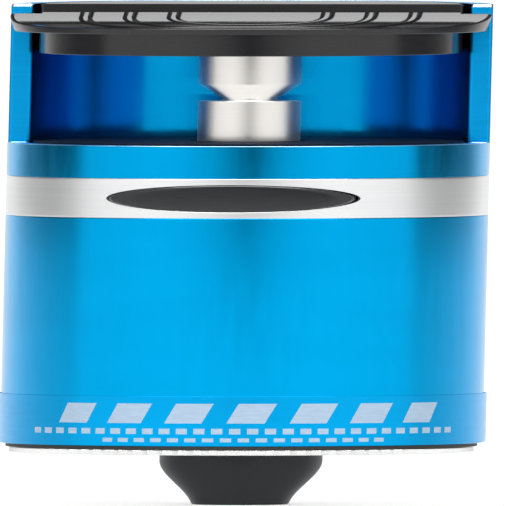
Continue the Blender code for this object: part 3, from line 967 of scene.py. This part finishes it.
def make_turned_pieces():
    make_ring_piece("nose_seal", "housing", "black_rubber", RUBBER, 9.95 * MM, 0.25 * MM, FINE)
    make_ring_piece("nozzle_seal", "housing", "black_rubber", RUBBER, 4.02 * MM, 0.2 * MM)
    make_ring_piece("spring_seat", "housing", "bare_aluminium", TURNED_METAL, 5.2 * MM, 0.15 * MM)
    make_ring_piece("bumper_washer", "housing", "black_rubber", RUBBER, 2.65 * MM, 0.3 * MM)
    make_ring_piece("rod_guide_bush", "housing", "brass", BRASS, 2.45 * MM, 0.2 * MM)
    make_ring_piece("piston_washer", "plunger", "bare_aluminium", TURNED_METAL, 1.65 * MM, 0.12 * MM)
    for node in ("piston_ring_upper", "piston_ring_lower"):
        lower, upper = low(node), high(node)
        wire = (upper.z - lower.z) / 2
        outline = arc((upper.x - wire, (lower.z + upper.z) / 2), wire, 0, 360, 24)[:-1]
        stand_for(turned(node + "_fine", outline, RUBBER, MEDIUM), "plunger", "black_rubber", node)


CARRIED_OVER = {
    "guide_plug": PLUG_PLASTIC_PAINTED_REFLECTION,
    "latch_plate": SPRING_STEEL,
    "piston_body": ACETAL,
    "piston_nut": BRASS,
    "cleaning_pin": ROD_STEEL,
}


def paint_carried_over():
    """The CAD meshes that stay, with new materials."""
    for node, material in CARRIED_OVER.items():
        repaint(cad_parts[node], material)


# ---------------------------------------------------------------- studio

TURN = math.radians(3.9)  # the camera and the studio stand a little to the right of the button


def make_floor():
    """White floor. Reflections see only a table's width of it, and the studio beyond."""
    side = 20.0
    table_near, table_far = 0.58, 0.90  # where it fades out, in metres from the pump
    dimmer_sides = 0.25
    bm = bmesh.new()
    bmesh.ops.create_grid(bm, x_segments=1, y_segments=1, size=side / 2)
    floor = make_object("floor", bm)
    surface = Surface("floor_white", (0.9, 0.9, 0.9), 0.9)
    tree = surface.tree
    length = tree.nodes.new("ShaderNodeVectorMath")
    length.operation = "LENGTH"
    surface.link(surface.coordinates.outputs["Object"], length.inputs[0])
    fade = tree.nodes.new("ShaderNodeMapRange")
    fade.interpolation_type = "SMOOTHSTEP"
    fade.inputs["From Min"].default_value = table_near
    fade.inputs["From Max"].default_value = table_far
    fade.inputs["To Min"].default_value = 1.0
    fade.inputs["To Max"].default_value = 0.0
    surface.link(length.outputs["Value"], fade.inputs["Value"])
    split = tree.nodes.new("ShaderNodeSeparateXYZ")
    surface.link(surface.coordinates.outputs["Object"], split.inputs[0])

    path = tree.nodes.new("ShaderNodeLightPath")
    sideways = math_node(tree, "DIVIDE", split.outputs["X"], length.outputs["Value"])
    dimmed = math_node(tree, "MULTIPLY", math_node(tree, "POWER", sideways, 2.0), dimmer_sides)
    shown = math_node(tree, "MULTIPLY", fade.outputs["Result"], math_node(tree, "SUBTRACT", 1.0, dimmed))
    unseen = math_node(tree, "SUBTRACT", 1.0, shown)
    hidden = math_node(tree, "MULTIPLY", unseen, path.outputs["Is Glossy Ray"])
    clear = tree.nodes.new("ShaderNodeBsdfTransparent")
    mix = tree.nodes.new("ShaderNodeMixShader")
    surface.link(hidden, mix.inputs["Fac"])
    surface.link(surface.shader.outputs["BSDF"], mix.inputs[1])
    surface.link(clear.outputs["BSDF"], mix.inputs[2])
    surface.link(mix.outputs["Shader"], tree.nodes["Material Output"].inputs["Surface"])

    # A faint glow that only the camera sees brings it nearer to the white behind it
    surface.link(path.outputs["Is Camera Ray"], surface.shader.inputs["Emission Strength"])
    surface.shader.inputs["Emission Color"].default_value = (0.08, 0.08, 0.08, 1)
    floor.data.materials.append(surface.material)


def make_world():
    """White behind the pump, and for reflections a studio with two wide softboxes in front."""
    world = bpy.data.worlds.new("studio")
    bpy.context.scene.world = world
    world.use_nodes = True
    tree = world.node_tree
    nodes, links = tree.nodes, tree.links
    background = nodes["Background"]

    coordinates = nodes.new("ShaderNodeTexCoord")
    split = nodes.new("ShaderNodeSeparateXYZ")
    turned_studio = nodes.new("ShaderNodeVectorRotate")
    turned_studio.rotation_type = "Z_AXIS"
    turned_studio.inputs["Angle"].default_value = -TURN
    links.new(coordinates.outputs["Generated"], turned_studio.inputs["Vector"])
    links.new(turned_studio.outputs["Vector"], split.inputs[0])
    forward = math_node(tree, "MULTIPLY", split.outputs["Y"], -1.0)
    sideways = math_node(tree, "ABSOLUTE", split.outputs["X"])
    azimuth = math_node(tree, "DIVIDE", math_node(tree, "ARCTAN2", sideways, forward), math.pi)

    def ramp(source, stops):
        node = nodes.new("ShaderNodeValToRGB")
        links.new(source, node.inputs["Fac"])
        elements = node.color_ramp.elements
        while len(elements) < len(stops):
            elements.new(0.5)
        for element, (position, value) in zip(elements, stops):
            element.position = position
            element.color = (value, value, value, 1)
        return node.outputs["Color"]

    # Brightness against the angle from the camera's side: a dim gap, a softbox, a dark flag, the backdrop
    degrees = [
        (0, 0.06),
        (4, 0.15),
        (9, 0.40),
        (18, 0.70),
        (30, 0.92),
        (43, 1.0),
        (84, 0.88),
        (91, 0.14),
        (112, 0.09),
        (132, 0.35),
        (150, 1.0),
    ]
    around = ramp(azimuth, [(angle / 180, value) for angle, value in degrees])
    height = math_node(tree, "DIVIDE", math_node(tree, "ARCSINE", split.outputs["Z"]), math.pi)
    upward = ramp(math_node(tree, "ADD", height, 0.5), [(0.0, 1.0), (0.66, 1.0), (0.76, 0.12), (1.0, 0.05)])
    studio = nodes.new("ShaderNodeMix")
    studio.data_type = "RGBA"
    studio.blend_type = "MULTIPLY"
    studio.inputs["Factor"].default_value = 1.0
    links.new(around, studio.inputs["A"])
    links.new(upward, studio.inputs["B"])

    path = nodes.new("ShaderNodeLightPath")
    seen = nodes.new("ShaderNodeMix")
    seen.data_type = "RGBA"
    links.new(path.outputs["Is Camera Ray"], seen.inputs["Factor"])
    links.new(studio.outputs["Result"], seen.inputs["A"])
    seen.inputs["B"].default_value = (1, 1, 1, 1)
    links.new(seen.outputs["Result"], background.inputs["Color"])


def make_light(name, place, target, size, radiance, diffuse=True, glossy=True):
    """A rectangular softbox. Its power follows from its brightness and its area."""
    data = bpy.data.lights.new(name, "AREA")
    data.shape = "RECTANGLE"
    data.size, data.size_y = size
    data.energy = radiance * math.pi * size[0] * size[1]
    light = bpy.data.objects.new(name, data)
    bpy.context.scene.collection.objects.link(light)
    light.location = place
    light.rotation_euler = (Vector(target) - Vector(place)).to_track_quat("-Z", "Y").to_euler()
    light.visible_camera = False
    light.visible_diffuse = diffuse
    light.visible_glossy = glossy


def make_lights():
    middle = (0, 0, 0.1)
    make_light("top_gloss", (0, -0.28, 0.80), (0, 0, 0.2), (1.0, 0.70), 10.0, diffuse=False)
    make_light("left_soft", (-1.3, -1.2, 0.7), middle, (1.2, 1.2), 0.8, glossy=False)
    make_light("right_soft", (1.3, -1.2, 0.7), middle, (1.2, 1.2), 0.8, glossy=False)
    sky = bpy.data.lights.new("sky_soft", "SUN")
    sky.angle = math.radians(150)
    sky.energy = 3.5
    sky_light = bpy.data.objects.new("sky_soft", sky)
    bpy.context.scene.collection.objects.link(sky_light)
    sky_light.visible_glossy = False


def make_camera():
    """An orthographic camera nine degrees above the pump, whose picture is stretched sideways.

    The photograph shows the pump about nine times as wide as it is. The pump is built with its
    true proportions, so the stretch is put in the camera: its sideways axis leans into the line
    of sight, which shortens what a step across the picture covers. It stands round by TURN.
    """
    stretch = 9.03
    elevation = math.radians(9)
    shown = 0.2082  # metres from the foot to the top of the picture
    scale = 0.218  # the same for other views, which need a margin
    lean = 0.0027  # sideways shift of the axis for each metre of height
    aside, middle = 0.32 * MM, 104.7 * MM  # the point in the middle of the picture
    distance = 0.8

    right = Vector((math.cos(TURN), math.sin(TURN), 0))
    center = right * aside + Vector((0, 0, middle))
    level = Vector((-math.sin(TURN), math.cos(TURN), 0))
    forward = level * math.cos(elevation) - Vector((0, 0, math.sin(elevation)))
    up = right.cross(forward)
    back = -forward

    def tilted(axis):
        """A unit axis whose part across the line of sight is the given one."""
        return axis + back * math.sqrt(1 - axis.length_squared)

    across = tilted(right * (shown / scale / stretch))
    upward = tilted((up - right * lean) * (shown / scale))
    place = center - forward * distance
    matrix = Matrix.Identity(4)
    for column, axis in enumerate((across, upward, back, place)):
        for row in range(3):
            matrix[row][column] = axis[row]

    data = bpy.data.cameras.new("camera")
    data.type = "ORTHO"
    data.ortho_scale = scale
    camera = bpy.data.objects.new("camera", data)
    holder = bpy.data.objects.new("camera_holder", None)
    for obj in (camera, holder):
        bpy.context.scene.collection.objects.link(obj)
    # An object's own place, turn and scale can't hold leaning axes, but this matrix can
    camera.parent = holder
    camera.matrix_parent_inverse = matrix
    bpy.context.scene.camera = camera


def main():
    make_camera()
    make_floor()
    make_world()
    make_lights()
    make_guard()
    make_barrel()
    make_film()
    make_print()
    make_collar()
    make_button()
    make_thumb_pad()
    make_rod()
    make_nose_cap()
    make_nozzle()
    make_main_spring()
    make_latch_spring()
    make_turned_pieces()
    paint_carried_over()
    scene = bpy.context.scene
    scene.view_settings.view_transform = "Standard"
    scene.world.cycles_visibility.diffuse = False  # it is for reflections and the background only


main()
